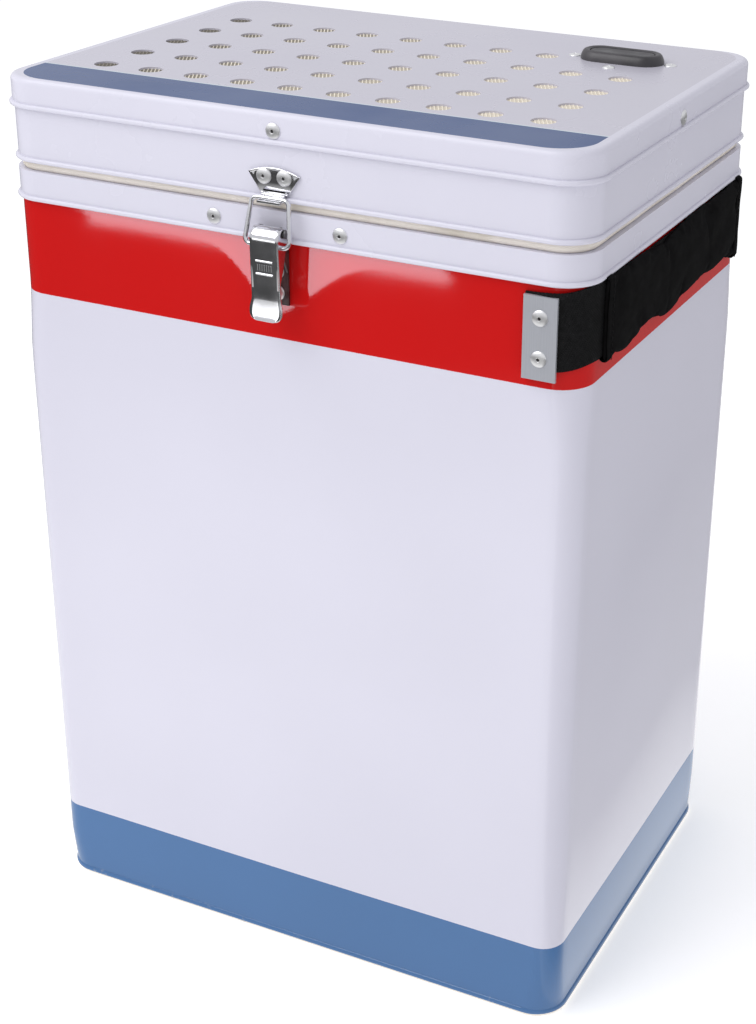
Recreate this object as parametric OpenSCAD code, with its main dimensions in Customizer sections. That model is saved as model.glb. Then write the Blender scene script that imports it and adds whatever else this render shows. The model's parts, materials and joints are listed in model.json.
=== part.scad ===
// Fire-resisting storage box for lithium battery packs.
// A double-walled sheet-steel body with a hinged, vented lid, a draw latch at the front,
// a cable port in the lid and a padded carry strap round the right side.
// X runs along the front, Y from front to back, Z up. The origin is the middle of the base.

/* [Body] */
// Width of the body along the front
body_w = 320; // [280:1:380]
// Depth of the body from front to back
body_d = 236; // [220:1:300]
// Height of the closed box
total_h = 481; // [300:1:600]
// Radius of the body's upright corners
corner_r = 18; // [14:1:24]
// Thickness of the sheet steel
sheet_t = 1; // [0.8:0.1:1.2]
// Gap between the outer shell and the inner liner
wall_gap = 18; // [14:1:24]

/* [Collar and seal] */
// Height of the collar round the body's mouth
collar_h = 15.5; // [14:0.5:20]
// Height of the seal between the collar and the lid
seal_h = 4.5; // [3:0.5:6]
// Width of the seal
seal_w = 11; // [8:1:13]

/* [Lid] */
// Height of the lid
lid_h = 43.2; // [38:0.1:60]
// Height of the cap's skirt
cap_h = 15.6; // [12:0.1:18]
// Radius of the cap's top edge
cap_edge_r = 3; // [2:0.5:4]
// Diameter of a vent hole
vent_d = 12.5; // [8:0.5:14]
// Distance between vent holes along the front
vent_pitch_x = 27.2; // [22:0.1:30]
// Distance between vent holes from front to back
vent_pitch_y = 32.9; // [20:0.1:36]

/* [Cable port] */
// Distance of the port's middle to the right of the lid's middle
port_x = 103; // [90:1:110]
// Distance of the port's middle behind the lid's middle
port_y = 68; // [60:1:72]
// Length of the port's ring
port_w = 46; // [40:1:50]
// Width of the port's ring
port_d = 22; // [18:1:26]
// Height of the port's ring
port_h = 5; // [4:0.5:8]

/* [Latch] */
// Diameter of the bail's wire
wire_d = 2; // [1.6:0.1:2.2]
// Width of the lever's channel
lever_w = 15; // [14:0.5:17]
// Width of the lever's tip
lever_tip_w = 18; // [16:0.5:22]
// Length of the lever below its pivot
lever_len = 43; // [36:1:50]

/* [Strap] */
// Width of the strap's webbing
strap_w = 38; // [30:1:40]
// Thickness of the strap's webbing
strap_t = 1.8; // [1.2:0.1:2.4]
// Thickness of the padded sleeve over the strap
sleeve_t = 5.5; // [4.5:0.5:8]
// Width of a strap clamp plate
clamp_w = 17; // [14:1:22]
// Height of a strap clamp plate
clamp_h = 41; // [38:1:46]

/* [Hidden] */
$fn = 64;

eps = 0.5;                                  // overrun of a cutting tool past a face
slip = 0.05;                                // clearance between a pin and its bore
room = 0.3;                                 // clearance between parts that move past each other

// Heights, worked down from the closed box's top
lid_z = total_h - lid_h;                    // lower edge of the lid
cap_z = total_h - cap_h;                    // lower edge of the cap's skirt
collar_top = lid_z - seal_h;
collar_z = collar_top - collar_h;
base_rim_h = 4;
base_rim_proud = 1;
base_rim_r = 2.7;                           // radius of the curled rim's rounded face
base_board_h = 20;
liner_z = sheet_t + base_board_h;

// Plan sizes
front_y = -body_d / 2;                      // outer face of the body at the front
side_x = body_w / 2;                        // outer face of the body at the right
liner_w = body_w - 2 * (sheet_t + wall_gap);
liner_d = body_d - 2 * (sheet_t + wall_gap);
liner_r = 9;
air_gap = 5;                                // between the outer shell and the insulation
frame_proud = 0.6;                          // lid frame past the body's face
frame_w = body_w + 2 * frame_proud;
frame_d = body_d + 2 * frame_proud;
frame_r = corner_r + frame_proud;
cap_w = frame_w + 2 * sheet_t;
cap_d = frame_d + 2 * sheet_t;
cap_r = frame_r + sheet_t;
bead_r = 1.3;                               // rolled bead on each skirt's lower edge
bead_out = 0.2;                             // bead's centre past the skirt's outer face
pad_inset = 6;                              // filter pad inside the lid frame
lid_flange_inner_r = 2;                     // corner radius of the lid frame's mouth
lid_flange_w = frame_r - lid_flange_inner_r;
pan_pitch_x = 28;                           // between the holes of the lid's inner pan
pan_pitch_y = 30;
pan_hole_d = 10;
pan_hole_x0 = -4;                           // the middle column of the pan's holes

// Rivets
rivet_head_r = 4;
rivet_head_h = 1.4;
rivet_dome_r = (rivet_head_r * rivet_head_r + rivet_head_h * rivet_head_h) / (2 * rivet_head_h);
rivet_shank_r = 2;
rivet_tail_r = 2.6;
rivet_tail_h = 2;
rivet_bore_r = 1;
rivet_bore_h = 1;
collar_rivet_x = 35;
collar_rivet_z = collar_z + 7.8;
lid_rivet_z = cap_z + 6.6;
bar_t = 1.5;
bar_w = 90;
bar_h = 12;

// Vent grid: the last columns leave out the hole that the port's plate would meet
vent_cols = 10;
vent_rows = 5;
vent_x0 = -4.3 - vent_pitch_x * (vent_cols - 1) / 2;
vent_y0 = -6.8 - vent_pitch_y * (vent_rows - 1) / 2;
vent_port_cols = 2;

// Port
port_wall = 5;
plug_top_drop = 1;
plug_depth = 3;
port_plate_w = 64;
port_plate_d = 50;
port_plate_t = 1.2;
port_plate_r = 8;
port_rivet_dx = 27;
port_rivet_dy = 20;
port_pocket = 3;                            // room round the port's plate in the layers below
port_pocket_h = 6;

// Latch: the lever turns on p0, and the bail's ends turn in the lever's cheeks at p1.
// Both are [y, z] places on the section through the latch's middle.
p0 = [front_y - 6.3, collar_z + 6.2];
p1 = p0 + [-3.7, -5.9];
bail_bar = [front_y - 5.6, lid_z + 2.5];    // middle of the bail's top wire
bail_foot_x = 12.6;
bail_top_x = 10;
bail_bend_r = 3;
bend_steps = 6;
wire_sides = 16;
latch_sheet = 1.2;
cheek_t = 1;
ear_x = lever_w / 2 - cheek_t - room;       // outer face of the base's ears
ear_t = 1;
ear_r = 3;
ear_h = 14;                                 // height of an ear where it meets the base plate
ear_neck = 3;                               // straight stretch below the ear's round end
lever_front = p0[0] - 6.2;                  // outer face of the lever's web
cheek_end = p0[1] - 27;
lever_tip_h = 10;
lever_tip_r = 4;
lever_tip_t = 2;
lever_lap = 1;                              // of the lever's web into its tip
pin_r = 1.5;
pin_head_r = 2.2;
pin_head_w = 1;
pin_head_gap = 0.4;                         // between a pin's head and the lever's cheek
base_z = p0[1] - 38;
base_top = collar_z - 1;
base_rivet_z = [base_z + 6, base_z + 17];
keeper_hook_w = 12.7;
keeper_top_w = 27;
keeper_z = lid_z + 15.9;                    // corners of the keeper's fan
keeper_waist_w = 16.5;
keeper_waist_z = lid_z + 5.6;
keeper_rivet_x = 5.6;
keeper_rivet_z = lid_z + 12.1;
keeper_lip_h = 0.35;
keeper_lip_t = 1;
keeper_shelf_t = 1;                         // thickness of the hook's shelf and of its joggle
keeper_joggle_h = 2.4;
keeper_arc_r = 34;                          // radius of the fan's top edge
keeper_fan_rise = 6;                        // more than the arc rises above the fan's corners

// Hinges
hinge_x = 95;
hinge_w = 50;
hinge_mid_w = 20;
hinge_r = 3;
hinge_y = body_d / 2 + 5.6;
hinge_z = collar_top + 2.2;
leaf_t = 1.5;
leaf_body_z = collar_z + 2.8;
leaf_lid_top = lid_z + 25;
hinge_rivet_dx = 16;
hinge_lid_rivet_z = lid_z + 15;
collar_face = body_d / 2 + sheet_t;         // outer face of the collar, front and back
frame_face = frame_d / 2;                   // outer face of the lid frame, front and back

// Strap
strap_gap = 0.3;
strap_z = collar_z - 2.3 - strap_w;
clamp_x = side_x - 20;
clamp_z = collar_z - 4.3 - clamp_h;
clamp_t = 1.5;
clamp_rivet_dz = 10;
sleeve_len = 2 * (body_d / 2 - corner_r - 2);
sleeve_h = strap_w + 3.8;
sleeve_wall = 1.2;                          // padding between the strap and the body's side

// ---------- shared shapes ----------

module rounded_outline(w, d, r) {
    square([w, d - 2 * r], center = true);
    square([w - 2 * r, d], center = true);
    for (x = [-1, 1], y = [-1, 1])
        translate([x * (w / 2 - r), y * (d / 2 - r)]) circle(r);
}

// A slot with round ends, w long and d wide
module stadium(w, d) {
    square([w - d, d], center = true);
    for (x = [-1, 1]) translate([x * (w - d) / 2, 0]) circle(d / 2);
}

module rounded_plate(w, d, r, h) {
    linear_extrude(h) rounded_outline(w, d, r);
}

module rounded_tube(w, d, r, t, h) {
    linear_extrude(h) difference() {
        rounded_outline(w, d, r);
        rounded_outline(w - 2 * t, d - 2 * t, r - t);
    }
}

// Carries a flat section round a rounded rectangle. In the section, x is the distance
// outside the rectangle and y is the height.
module edge_sweep(w, d, r) {
    for (i = [0:3]) {
        sx = (i == 0 || i == 3) ? 1 : -1;
        sy = (i < 2) ? 1 : -1;
        translate([sx * (w / 2 - r), sy * (d / 2 - r), 0])
            rotate([0, 0, 90 * i]) rotate_extrude(angle = 90) translate([r, 0]) children();
    }
    for (side = [0, 180])
        rotate([0, 0, side]) translate([-(w / 2 - r), d / 2, 0])
            rotate([90, 0, 90]) linear_extrude(w - 2 * r) children();
    if (d > 2 * r)
        for (side = [90, 270])
            rotate([0, 0, side]) translate([-(d / 2 - r), w / 2, 0])
                rotate([90, 0, 90]) linear_extrude(d - 2 * r) children();
}

// Rolled bead on a skirt's lower edge, flush with the skirt's inner face
module bead_section(z) {
    intersection() {
        translate([bead_out, z + bead_r]) circle(bead_r);
        translate([-sheet_t, z]) square(2 * bead_r + sheet_t);
    }
}

// Extrudes a section drawn in [y, z] along X, centred on x = 0
module across(w) {
    translate([-w / 2, 0, 0]) rotate([90, 0, 90]) linear_extrude(w) children();
}

// Pop rivet: its head stands on z = 0 and points along +Z, and it grips sheets below it
module rivet(grip) {
    rotate_extrude() difference() {
        union() {
            intersection() {
                translate([0, rivet_head_h - rivet_dome_r]) circle(rivet_dome_r);
                square([rivet_head_r, rivet_head_h]);
            }
            translate([0, -grip]) square([rivet_shank_r, grip]);
            translate([0, -grip - rivet_tail_h]) square([rivet_tail_r, rivet_tail_h]);
        }
        translate([0, rivet_head_h - rivet_bore_h]) square([rivet_bore_r, 2 * rivet_bore_h]);
    }
}

module rivet_hole(grip) {
    translate([0, 0, -grip - eps]) cylinder(r = rivet_shank_r, h = grip + 2 * eps);
}

// Turn a rivet to face each side of the box
module facing_front(x, y, z) { translate([x, y, z]) rotate([90, 0, 0]) children(); }
module facing_back(x, y, z) { translate([x, y, z]) rotate([-90, 0, 0]) children(); }
module facing_right(x, y, z) { translate([x, y, z]) rotate([0, 90, 0]) children(); }
module facing_left(x, y, z) { translate([x, y, z]) rotate([0, -90, 0]) children(); }

// Places of each group of rivets, used by the rivets and by the holes they go through
module at_collar_rivets() {
    for (x = [-1, 1]) facing_front(x * collar_rivet_x, -collar_face, collar_rivet_z) children();
}
module at_latch_base_rivets() {
    for (z = base_rivet_z) facing_front(0, front_y - latch_sheet, z) children();
}
module at_keeper_rivets() {
    for (x = [-1, 1])
        facing_front(x * keeper_rivet_x, -frame_face - latch_sheet, keeper_rivet_z) children();
}
module at_lid_rivets() {
    facing_front(0, -cap_d / 2, lid_rivet_z) children();
    facing_back(0, cap_d / 2, lid_rivet_z) children();
    facing_right(cap_w / 2, 0, lid_rivet_z) children();
    facing_left(-cap_w / 2, 0, lid_rivet_z) children();
}
module at_port_rivets() {
    for (s = [-1, 1]) {
        translate([port_x + s * port_rivet_dx, port_y, total_h]) children();
        translate([port_x, port_y + s * port_rivet_dy, total_h]) children();
    }
}
module at_hinge_body_rivets() {
    for (h = [-1, 1], s = [-1, 1])
        facing_back(h * hinge_x + s * hinge_rivet_dx, collar_face + leaf_t, collar_rivet_z) children();
}
module at_hinge_lid_rivets() {
    for (h = [-1, 1], s = [-1, 1])
        facing_back(h * hinge_x + s * hinge_rivet_dx, frame_face + leaf_t, hinge_lid_rivet_z) children();
}
module at_strap_rivets() {
    face = -front_y + strap_gap + strap_t + clamp_t;
    for (s = [-1, 1]) {
        z = clamp_z + clamp_h / 2 + s * clamp_rivet_dz;
        facing_front(clamp_x, -face, z) children();
        facing_back(clamp_x, face, z) children();
    }
}
collar_grip = 2 * sheet_t + bar_t;
base_grip = latch_sheet + sheet_t;
keeper_grip = latch_sheet + sheet_t;
lid_grip = 2 * sheet_t;
port_grip = sheet_t + port_plate_t;
hinge_body_grip = leaf_t + 2 * sheet_t;
hinge_lid_grip = leaf_t + sheet_t;
strap_grip = clamp_t + strap_t + strap_gap + sheet_t;

// ---------- body ----------

module base_pan() {
    color("white") {
        rounded_plate(body_w, body_d, corner_r, sheet_t);
        difference() {
            edge_sweep(body_w, body_d, corner_r) intersection() {
                square([2 * base_rim_proud, base_rim_h]);
                translate([base_rim_proud - base_rim_r, base_rim_h / 2]) circle(base_rim_r);
            }
            translate([0, 0, sheet_t]) rounded_plate(body_w, body_d, corner_r, base_rim_h);
        }
    }
}

module outer_shell() {
    color("white") difference() {
        translate([0, 0, sheet_t])
            rounded_tube(body_w, body_d, corner_r, sheet_t, collar_top - 2 * sheet_t);
        at_collar_rivets() rivet_hole(collar_grip);
        at_latch_base_rivets() rivet_hole(base_grip);
        at_hinge_body_rivets() rivet_hole(hinge_body_grip);
        at_strap_rivets() rivet_hole(strap_grip);
    }
}

module base_insulation() {
    color("wheat") translate([0, 0, sheet_t])
        rounded_plate(body_w - 2 * sheet_t, body_d - 2 * sheet_t, corner_r - sheet_t, base_board_h);
}

module wall_insulation() {
    color("wheat") translate([0, 0, liner_z]) rounded_tube(
        liner_w + 2 * (wall_gap - air_gap), liner_d + 2 * (wall_gap - air_gap),
        liner_r + wall_gap - air_gap, wall_gap - air_gap, collar_top - sheet_t - liner_z);
}

module liner_floor() {
    color("silver") translate([0, 0, liner_z]) rounded_plate(liner_w, liner_d, liner_r, sheet_t);
}

module liner_wall() {
    wall_z = liner_z + sheet_t;
    color("silver") translate([0, 0, wall_z])
        rounded_tube(liner_w, liner_d, liner_r, sheet_t, collar_top - sheet_t - wall_z);
}

module collar_frame() {
    color("white") difference() {
        union() {
            translate([0, 0, collar_z]) rounded_tube(body_w + 2 * sheet_t, body_d + 2 * sheet_t,
                corner_r + sheet_t, sheet_t, collar_h);
            edge_sweep(body_w + 2 * sheet_t, body_d + 2 * sheet_t, corner_r + sheet_t)
                bead_section(collar_z);
            translate([0, 0, collar_top - sheet_t]) difference() {
                rounded_plate(body_w, body_d, corner_r, sheet_t);
                translate([0, 0, -eps]) rounded_plate(liner_w - 2 * sheet_t, liner_d - 2 * sheet_t,
                    liner_r - sheet_t, sheet_t + 2 * eps);
            }
        }
        at_collar_rivets() rivet_hole(collar_grip);
        at_hinge_body_rivets() rivet_hole(hinge_body_grip);
    }
}

module lid_seal() {
    color("antiquewhite") translate([0, 0, collar_top])
        rounded_tube(body_w - 2, body_d - 2, corner_r - 1, seal_w, seal_h - room);
}

module latch_backing_bar() {
    color("silver") difference() {
        translate([-bar_w / 2, front_y + sheet_t, collar_rivet_z - bar_h / 2])
            cube([bar_w, bar_t, bar_h]);
        at_collar_rivets() rivet_hole(collar_grip);
    }
}

module collar_rivets() {
    color("silver") at_collar_rivets() rivet(collar_grip);
}

// ---------- latch ----------

module latch_base() {
    color("silver") difference() {
        union() {
            translate([-ear_x, front_y - latch_sheet, base_z])
                cube([2 * ear_x, latch_sheet, base_top - base_z]);
            for (s = [-1, 1]) translate([s * (ear_x - ear_t / 2), 0, 0]) across(ear_t) {
                polygon([[front_y, base_top - ear_h], [front_y, base_top],
                    [p0[0] + ear_r, base_top], [p0[0] + ear_r, p0[1]], [p0[0] - ear_r, p0[1]],
                    [p0[0] - ear_r, p0[1] - ear_neck], [front_y - latch_sheet, base_top - ear_h]]);
                translate(p0) circle(ear_r);
            }
        }
        across(2 * lever_w) translate(p0) circle(pin_r);
        at_latch_base_rivets() rivet_hole(base_grip);
    }
}

module latch_base_rivets() {
    color("silver") at_latch_base_rivets() rivet(base_grip);
}

module lever_pin() {
    shaft_w = lever_w + 2 * pin_head_gap;
    color("silver") {
        across(shaft_w) translate(p0) circle(pin_r);
        for (s = [-1, 1]) translate([s * (shaft_w + pin_head_w) / 2, 0, 0])
            across(pin_head_w) translate(p0) circle(pin_head_r);
    }
}

// Side of the lever's channel: deep at the pivot, and tapered down to the web's thickness
module cheek_section() {
    polygon([[p0[0] + ear_r, p0[1]], [p0[0] + ear_r, p0[1] - 4], [p0[0] - 1, cheek_end + 8],
        [lever_front + latch_sheet, cheek_end], [lever_front, cheek_end], [lever_front, p0[1]]]);
    translate(p0) circle(ear_r);
}

module latch_lever() {
    web_z = p0[1] - lever_len;
    color("silver") difference() {
        union() {
            for (s = [-1, 1])
                translate([s * (lever_w - cheek_t) / 2, 0, 0]) across(cheek_t) cheek_section();
            translate([-lever_w / 2, lever_front, web_z + lever_tip_h - lever_lap])
                cube([lever_w, latch_sheet, lever_len - lever_tip_h + lever_lap]);
            translate([0, lever_front + latch_sheet, web_z + lever_tip_h / 2]) rotate([90, 0, 0])
                rounded_plate(lever_tip_w, lever_tip_h, lever_tip_r, lever_tip_t);
        }
        across(2 * lever_w) translate(p0) circle(pin_r + slip);
        across(2 * lever_w) translate(p1) circle(wire_d / 2 + slip);
    }
}

// The bail is drawn flat, with its feet along X and its top wire above them, then leaned
// back from the feet to the keeper's hook. Each stop on its route is [x, y, heading].
module latch_bail() {
    lean = bail_bar - p1;
    foot = [bail_foot_x, 0];
    top = [bail_top_x, norm(lean)];
    leg = atan2(top[1] - foot[1], top[0] - foot[0]);
    foot_bend = foot + bail_bend_r * [-tan(leg / 2), 1];
    top_bend = top + bail_bend_r * [-tan((180 - leg) / 2), -1];
    half = concat([[lever_w / 2 - cheek_t + 0.1, 0, 0]],
        [for (i = [0:bend_steps]) bend_stop(foot_bend, leg * i / bend_steps)],
        [for (i = [0:bend_steps]) bend_stop(top_bend, leg + (180 - leg) * i / bend_steps)]);
    last = len(half) - 1;
    route = concat(half, [for (i = [last:-1:0]) [-half[i][0], half[i][1], 360 - half[i][2]]]);
    color("silver") translate([0, p1[0], p1[1]])
        rotate([90 - atan2(lean[0], lean[1]), 0, 0]) wire_tube(route, wire_d / 2);
}

function bend_stop(centre, heading) = [centre[0] + bail_bend_r * sin(heading),
    centre[1] - bail_bend_r * cos(heading), heading];

module wire_tube(route, r) {
    n = len(route);
    points = [for (p = route, j = [0:wire_sides - 1]) let (a = 360 * j / wire_sides)
        [p[0] - sin(p[2]) * r * cos(a), p[1] + cos(p[2]) * r * cos(a), r * sin(a)]];
    walls = [for (i = [0:n - 2], j = [0:wire_sides - 1]) let (k = (j + 1) % wire_sides)
        [i * wire_sides + j, (i + 1) * wire_sides + j, (i + 1) * wire_sides + k, i * wire_sides + k]];
    ends = [[for (j = [0:wire_sides - 1]) j],
        [for (j = [wire_sides - 1:-1:0]) (n - 1) * wire_sides + j]];
    polyhedron(points, concat(walls, ends));
}

// Section of the keeper's hook: a joggle down to a shelf that the bail's top wire sits on
module hook_section() {
    seat = bail_bar[1] - wire_d / 2 - slip;
    back = bail_bar[0] + wire_d / 2 + keeper_shelf_t;
    lip = bail_bar[0] - wire_d / 2 - 3 * slip;
    face = -frame_face - latch_sheet;
    under = seat - keeper_shelf_t;
    polygon([[-frame_face, keeper_waist_z + sheet_t], [face, keeper_waist_z + sheet_t],
        [face, keeper_waist_z], [back, seat + keeper_joggle_h], [back, seat], [lip, seat],
        [lip, seat + keeper_lip_h], [lip - keeper_lip_t, seat + keeper_lip_h],
        [lip - keeper_lip_t, under], [back + keeper_shelf_t, under],
        [back + keeper_shelf_t, seat + keeper_joggle_h - 0.4],
        [-frame_face, keeper_waist_z - 0.6]]);
}

module latch_keeper() {
    rise = keeper_arc_r - sqrt(keeper_arc_r * keeper_arc_r - keeper_top_w * keeper_top_w / 4);
    color("silver") difference() {
        union() {
            translate([0, -frame_face, 0]) rotate([90, 0, 0]) linear_extrude(latch_sheet)
                intersection() {
                    polygon([[-keeper_top_w / 2, keeper_z],
                        [-keeper_top_w / 2, keeper_z + keeper_fan_rise],
                        [keeper_top_w / 2, keeper_z + keeper_fan_rise],
                        [keeper_top_w / 2, keeper_z], [keeper_waist_w / 2, keeper_waist_z],
                        [-keeper_waist_w / 2, keeper_waist_z]]);
                    translate([0, keeper_z + rise - keeper_arc_r]) circle(keeper_arc_r, $fn = 128);
                }
            across(keeper_hook_w) hook_section();
        }
        at_keeper_rivets() rivet_hole(keeper_grip);
    }
}

module keeper_rivets() {
    color("silver") at_keeper_rivets() rivet(keeper_grip);
}

// ---------- hinges ----------

module knuckle(x, w, bore) {
    translate([x, 0, 0]) across(w) translate([hinge_y, hinge_z]) difference() {
        circle(hinge_r);
        circle(bore);
    }
}

module hinge_body_leaves() {
    side_w = (hinge_w - hinge_mid_w) / 2 - room;
    color("silver") for (h = [-1, 1]) difference() {
        translate([h * hinge_x, 0, 0]) {
            across(hinge_w) polygon([[collar_face, leaf_body_z], [collar_face + leaf_t, leaf_body_z],
                [collar_face + leaf_t, collar_top - 3], [hinge_y - 0.5, hinge_z - hinge_r + 0.2],
                [hinge_y - 2, hinge_z - hinge_r + 0.9], [collar_face, collar_top - 1.6]]);
            for (s = [-1, 1]) knuckle(s * (hinge_w - side_w) / 2, side_w, pin_r);
        }
        translate([h * hinge_x, 0, 0]) across(hinge_mid_w + 2 * room)
            translate([hinge_y, hinge_z]) circle(hinge_r + room);
        translate([h * hinge_x, 0, 0]) across(hinge_w + 2) translate([hinge_y, hinge_z]) circle(pin_r);
        at_hinge_body_rivets() rivet_hole(hinge_body_grip);
    }
}

module hinge_lid_leaves() {
    color("silver") for (h = [-1, 1]) difference() {
        translate([h * hinge_x, 0, 0]) {
            across(hinge_w) polygon([[frame_face, lid_z + 5], [frame_face + 3.2, lid_z + 2.4],
                [frame_face + 4.4, lid_z + 3.4], [frame_face + leaf_t, lid_z + 6.2],
                [frame_face + leaf_t, leaf_lid_top], [frame_face, leaf_lid_top]]);
            across(hinge_mid_w) polygon([[frame_face + 2, lid_z + 3.4], [frame_face + 2, hinge_z + 1.4],
                [hinge_y, hinge_z + 2], [hinge_y + 1, hinge_z + hinge_r - 0.4],
                [frame_face + 4.4, lid_z + 3.4]]);
            knuckle(0, hinge_mid_w, pin_r + slip);
        }
        for (s = [-1, 1]) translate([h * hinge_x + s * (hinge_w + hinge_mid_w) / 4, 0, 0])
            across((hinge_w - hinge_mid_w) / 2) translate([hinge_y, hinge_z]) circle(hinge_r + room);
        translate([h * hinge_x, 0, 0]) across(hinge_w + 2)
            translate([hinge_y, hinge_z]) circle(pin_r + slip);
        at_hinge_lid_rivets() rivet_hole(hinge_lid_grip);
    }
}

module hinge_pins() {
    color("silver") for (h = [-1, 1])
        translate([h * hinge_x, 0, 0]) across(hinge_w) translate([hinge_y, hinge_z]) circle(pin_r);
}

module hinge_body_rivets() {
    color("silver") at_hinge_body_rivets() rivet(hinge_body_grip);
}

module hinge_lid_rivets() {
    color("silver") at_hinge_lid_rivets() rivet(hinge_lid_grip);
}

// ---------- strap ----------

module strap_webbing() {
    end_x = clamp_x - clamp_w / 2;
    out = strap_gap + strap_t;
    color("dimgray") difference() {
        translate([0, 0, strap_z]) linear_extrude(strap_w) difference() {
            rounded_outline(body_w + 2 * out, body_d + 2 * out, corner_r + out);
            rounded_outline(body_w + 2 * strap_gap, body_d + 2 * strap_gap, corner_r + strap_gap);
            translate([-body_w, -body_d]) square([body_w + end_x, 2 * body_d]);
        }
        at_strap_rivets() rivet_hole(strap_grip);
    }
}

module strap_sleeve() {
    inner = side_x + strap_gap + strap_t;
    color("dimgray")
        translate([inner, -sleeve_len / 2, strap_z + (strap_w - sleeve_h) / 2])
            cube([sleeve_t - strap_t - sleeve_wall, sleeve_len, sleeve_h]);
}

module strap_clamp(side) {
    y = side * (body_d / 2 + strap_gap + strap_t);
    color("lightgray") difference() {
        translate([clamp_x - clamp_w / 2, side > 0 ? y : y - clamp_t, clamp_z])
            cube([clamp_w, clamp_t, clamp_h]);
        at_strap_rivets() rivet_hole(strap_grip);
    }
}
module strap_clamp_front() { strap_clamp(-1); }
module strap_clamp_rear() { strap_clamp(1); }

module strap_rivets() {
    color("silver") at_strap_rivets() rivet(strap_grip);
}

// ---------- lid ----------

module port_outline(grow) {
    translate([port_x, port_y])
        stadium(port_w - 2 * port_wall + 2 * grow, port_d - 2 * port_wall + 2 * grow);
}

module port_passage(z, h) {
    translate([0, 0, z - eps]) linear_extrude(h + 2 * eps) port_outline(0);
}

module port_pocket_cut(z, h) {
    translate([port_x, port_y, z]) rounded_plate(port_plate_w + 2 * port_pocket,
        port_plate_d + 2 * port_pocket, port_plate_r, h);
}

module vent_holes() {
    for (i = [0:vent_cols - 1], j = [0:vent_rows - 1])
        if (i < vent_cols - vent_port_cols || j < vent_rows - 1)
            translate([vent_x0 + i * vent_pitch_x, vent_y0 + j * vent_pitch_y, total_h - 2 * sheet_t])
                cylinder(d = vent_d, h = 3 * sheet_t);
}

// Section of the cap's skirt and rounded top edge
module cap_edge_section() {
    corner = [-cap_edge_r, total_h - cap_edge_r];
    intersection() {
        difference() {
            union() {
                translate([-cap_edge_r, cap_z]) square([cap_edge_r, cap_h - cap_edge_r]);
                translate(corner) circle(cap_edge_r);
            }
            translate([-cap_edge_r - eps, cap_z - eps])
                square([cap_edge_r + eps - sheet_t, cap_h - cap_edge_r + eps]);
            translate(corner) circle(cap_edge_r - sheet_t);
        }
        translate([-cap_edge_r, cap_z]) square([cap_edge_r, cap_h]);
    }
    bead_section(cap_z);
}

module lid_cap() {
    color("whitesmoke") difference() {
        union() {
            edge_sweep(cap_w, cap_d, cap_r) cap_edge_section();
            translate([0, 0, total_h - sheet_t]) rounded_plate(cap_w - 2 * cap_edge_r,
                cap_d - 2 * cap_edge_r, cap_r - cap_edge_r, sheet_t);
        }
        vent_holes();
        port_passage(total_h - sheet_t, sheet_t);
        at_lid_rivets() rivet_hole(lid_grip);
        at_port_rivets() rivet_hole(port_grip);
    }
}

module lid_frame() {
    wall_h = lid_h - cap_edge_r - sheet_t;
    color("white") difference() {
        union() {
            translate([0, 0, lid_z]) rounded_tube(frame_w, frame_d, frame_r, sheet_t, wall_h);
            edge_sweep(frame_w, frame_d, frame_r) bead_section(lid_z);
            translate([0, 0, lid_z])
                rounded_tube(frame_w, frame_d, frame_r, lid_flange_w, sheet_t);
        }
        at_lid_rivets() rivet_hole(lid_grip);
        at_keeper_rivets() rivet_hole(keeper_grip);
        at_hinge_lid_rivets() rivet_hole(hinge_lid_grip);
    }
}

// Whether a hole of the inner pan would meet the port's passage
function near_port(x, y) = abs(x - port_x) < (port_w + pan_hole_d) / 2
    && abs(y - port_y) < (port_d + pan_hole_d) / 2;

module lid_inner_pan() {
    w = frame_w - 2 * sheet_t;
    d = frame_d - 2 * sheet_t;
    color("silver") translate([0, 0, lid_z + sheet_t]) difference() {
        rounded_plate(w, d, frame_r - sheet_t, sheet_t);
        for (i = [-4:4], j = [-2:2]) {
            x = pan_hole_x0 + i * pan_pitch_x;
            y = j * pan_pitch_y;
            if (!near_port(x, y))
                translate([x, y, -eps]) cylinder(d = pan_hole_d, h = sheet_t + 2 * eps);
        }
        port_passage(0, sheet_t);
    }
}

module filter_pad() {
    pad_z = lid_z + 2 * sheet_t;
    pad_top = total_h - 2 * sheet_t;
    color("wheat") difference() {
        translate([0, 0, pad_z]) rounded_plate(frame_w - 2 * (sheet_t + pad_inset),
            frame_d - 2 * (sheet_t + pad_inset), frame_r - pad_inset, pad_top - pad_z);
        port_passage(pad_z, pad_top - pad_z);
        port_pocket_cut(pad_top - port_pocket_h, port_pocket_h + eps);
    }
}

module vent_screen() {
    screen_z = total_h - 2 * sheet_t;
    color("wheat") difference() {
        translate([0, 0, screen_z]) rounded_plate(frame_w - 2 * (sheet_t + pad_inset),
            frame_d - 2 * (sheet_t + pad_inset), frame_r - pad_inset, sheet_t);
        port_pocket_cut(screen_z - eps, sheet_t + 2 * eps);
    }
}

module lid_rivets() {
    color("silver") at_lid_rivets() rivet(lid_grip);
}

module port_ring() {
    chamfer = 2;
    color("dimgray") translate([port_x, port_y, 0]) edge_sweep(port_w, port_d, port_d / 2)
        polygon([[-port_wall, total_h], [0, total_h], [0, total_h + port_h / 2],
            [-chamfer, total_h + port_h], [-port_wall, total_h + port_h]]);
}

module port_backing_plate() {
    z = total_h - sheet_t - port_plate_t;
    color("silver") difference() {
        translate([port_x, port_y, z])
            rounded_plate(port_plate_w, port_plate_d, port_plate_r, port_plate_t);
        port_passage(z, port_plate_t);
        at_port_rivets() rivet_hole(port_grip);
    }
}

module port_rivets() {
    color("silver") at_port_rivets() rivet(port_grip);
}

module port_plug() {
    color("dimgray") translate([0, 0, total_h - plug_depth])
        linear_extrude(plug_depth + port_h - plug_top_drop) port_outline(-room);
}

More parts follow.
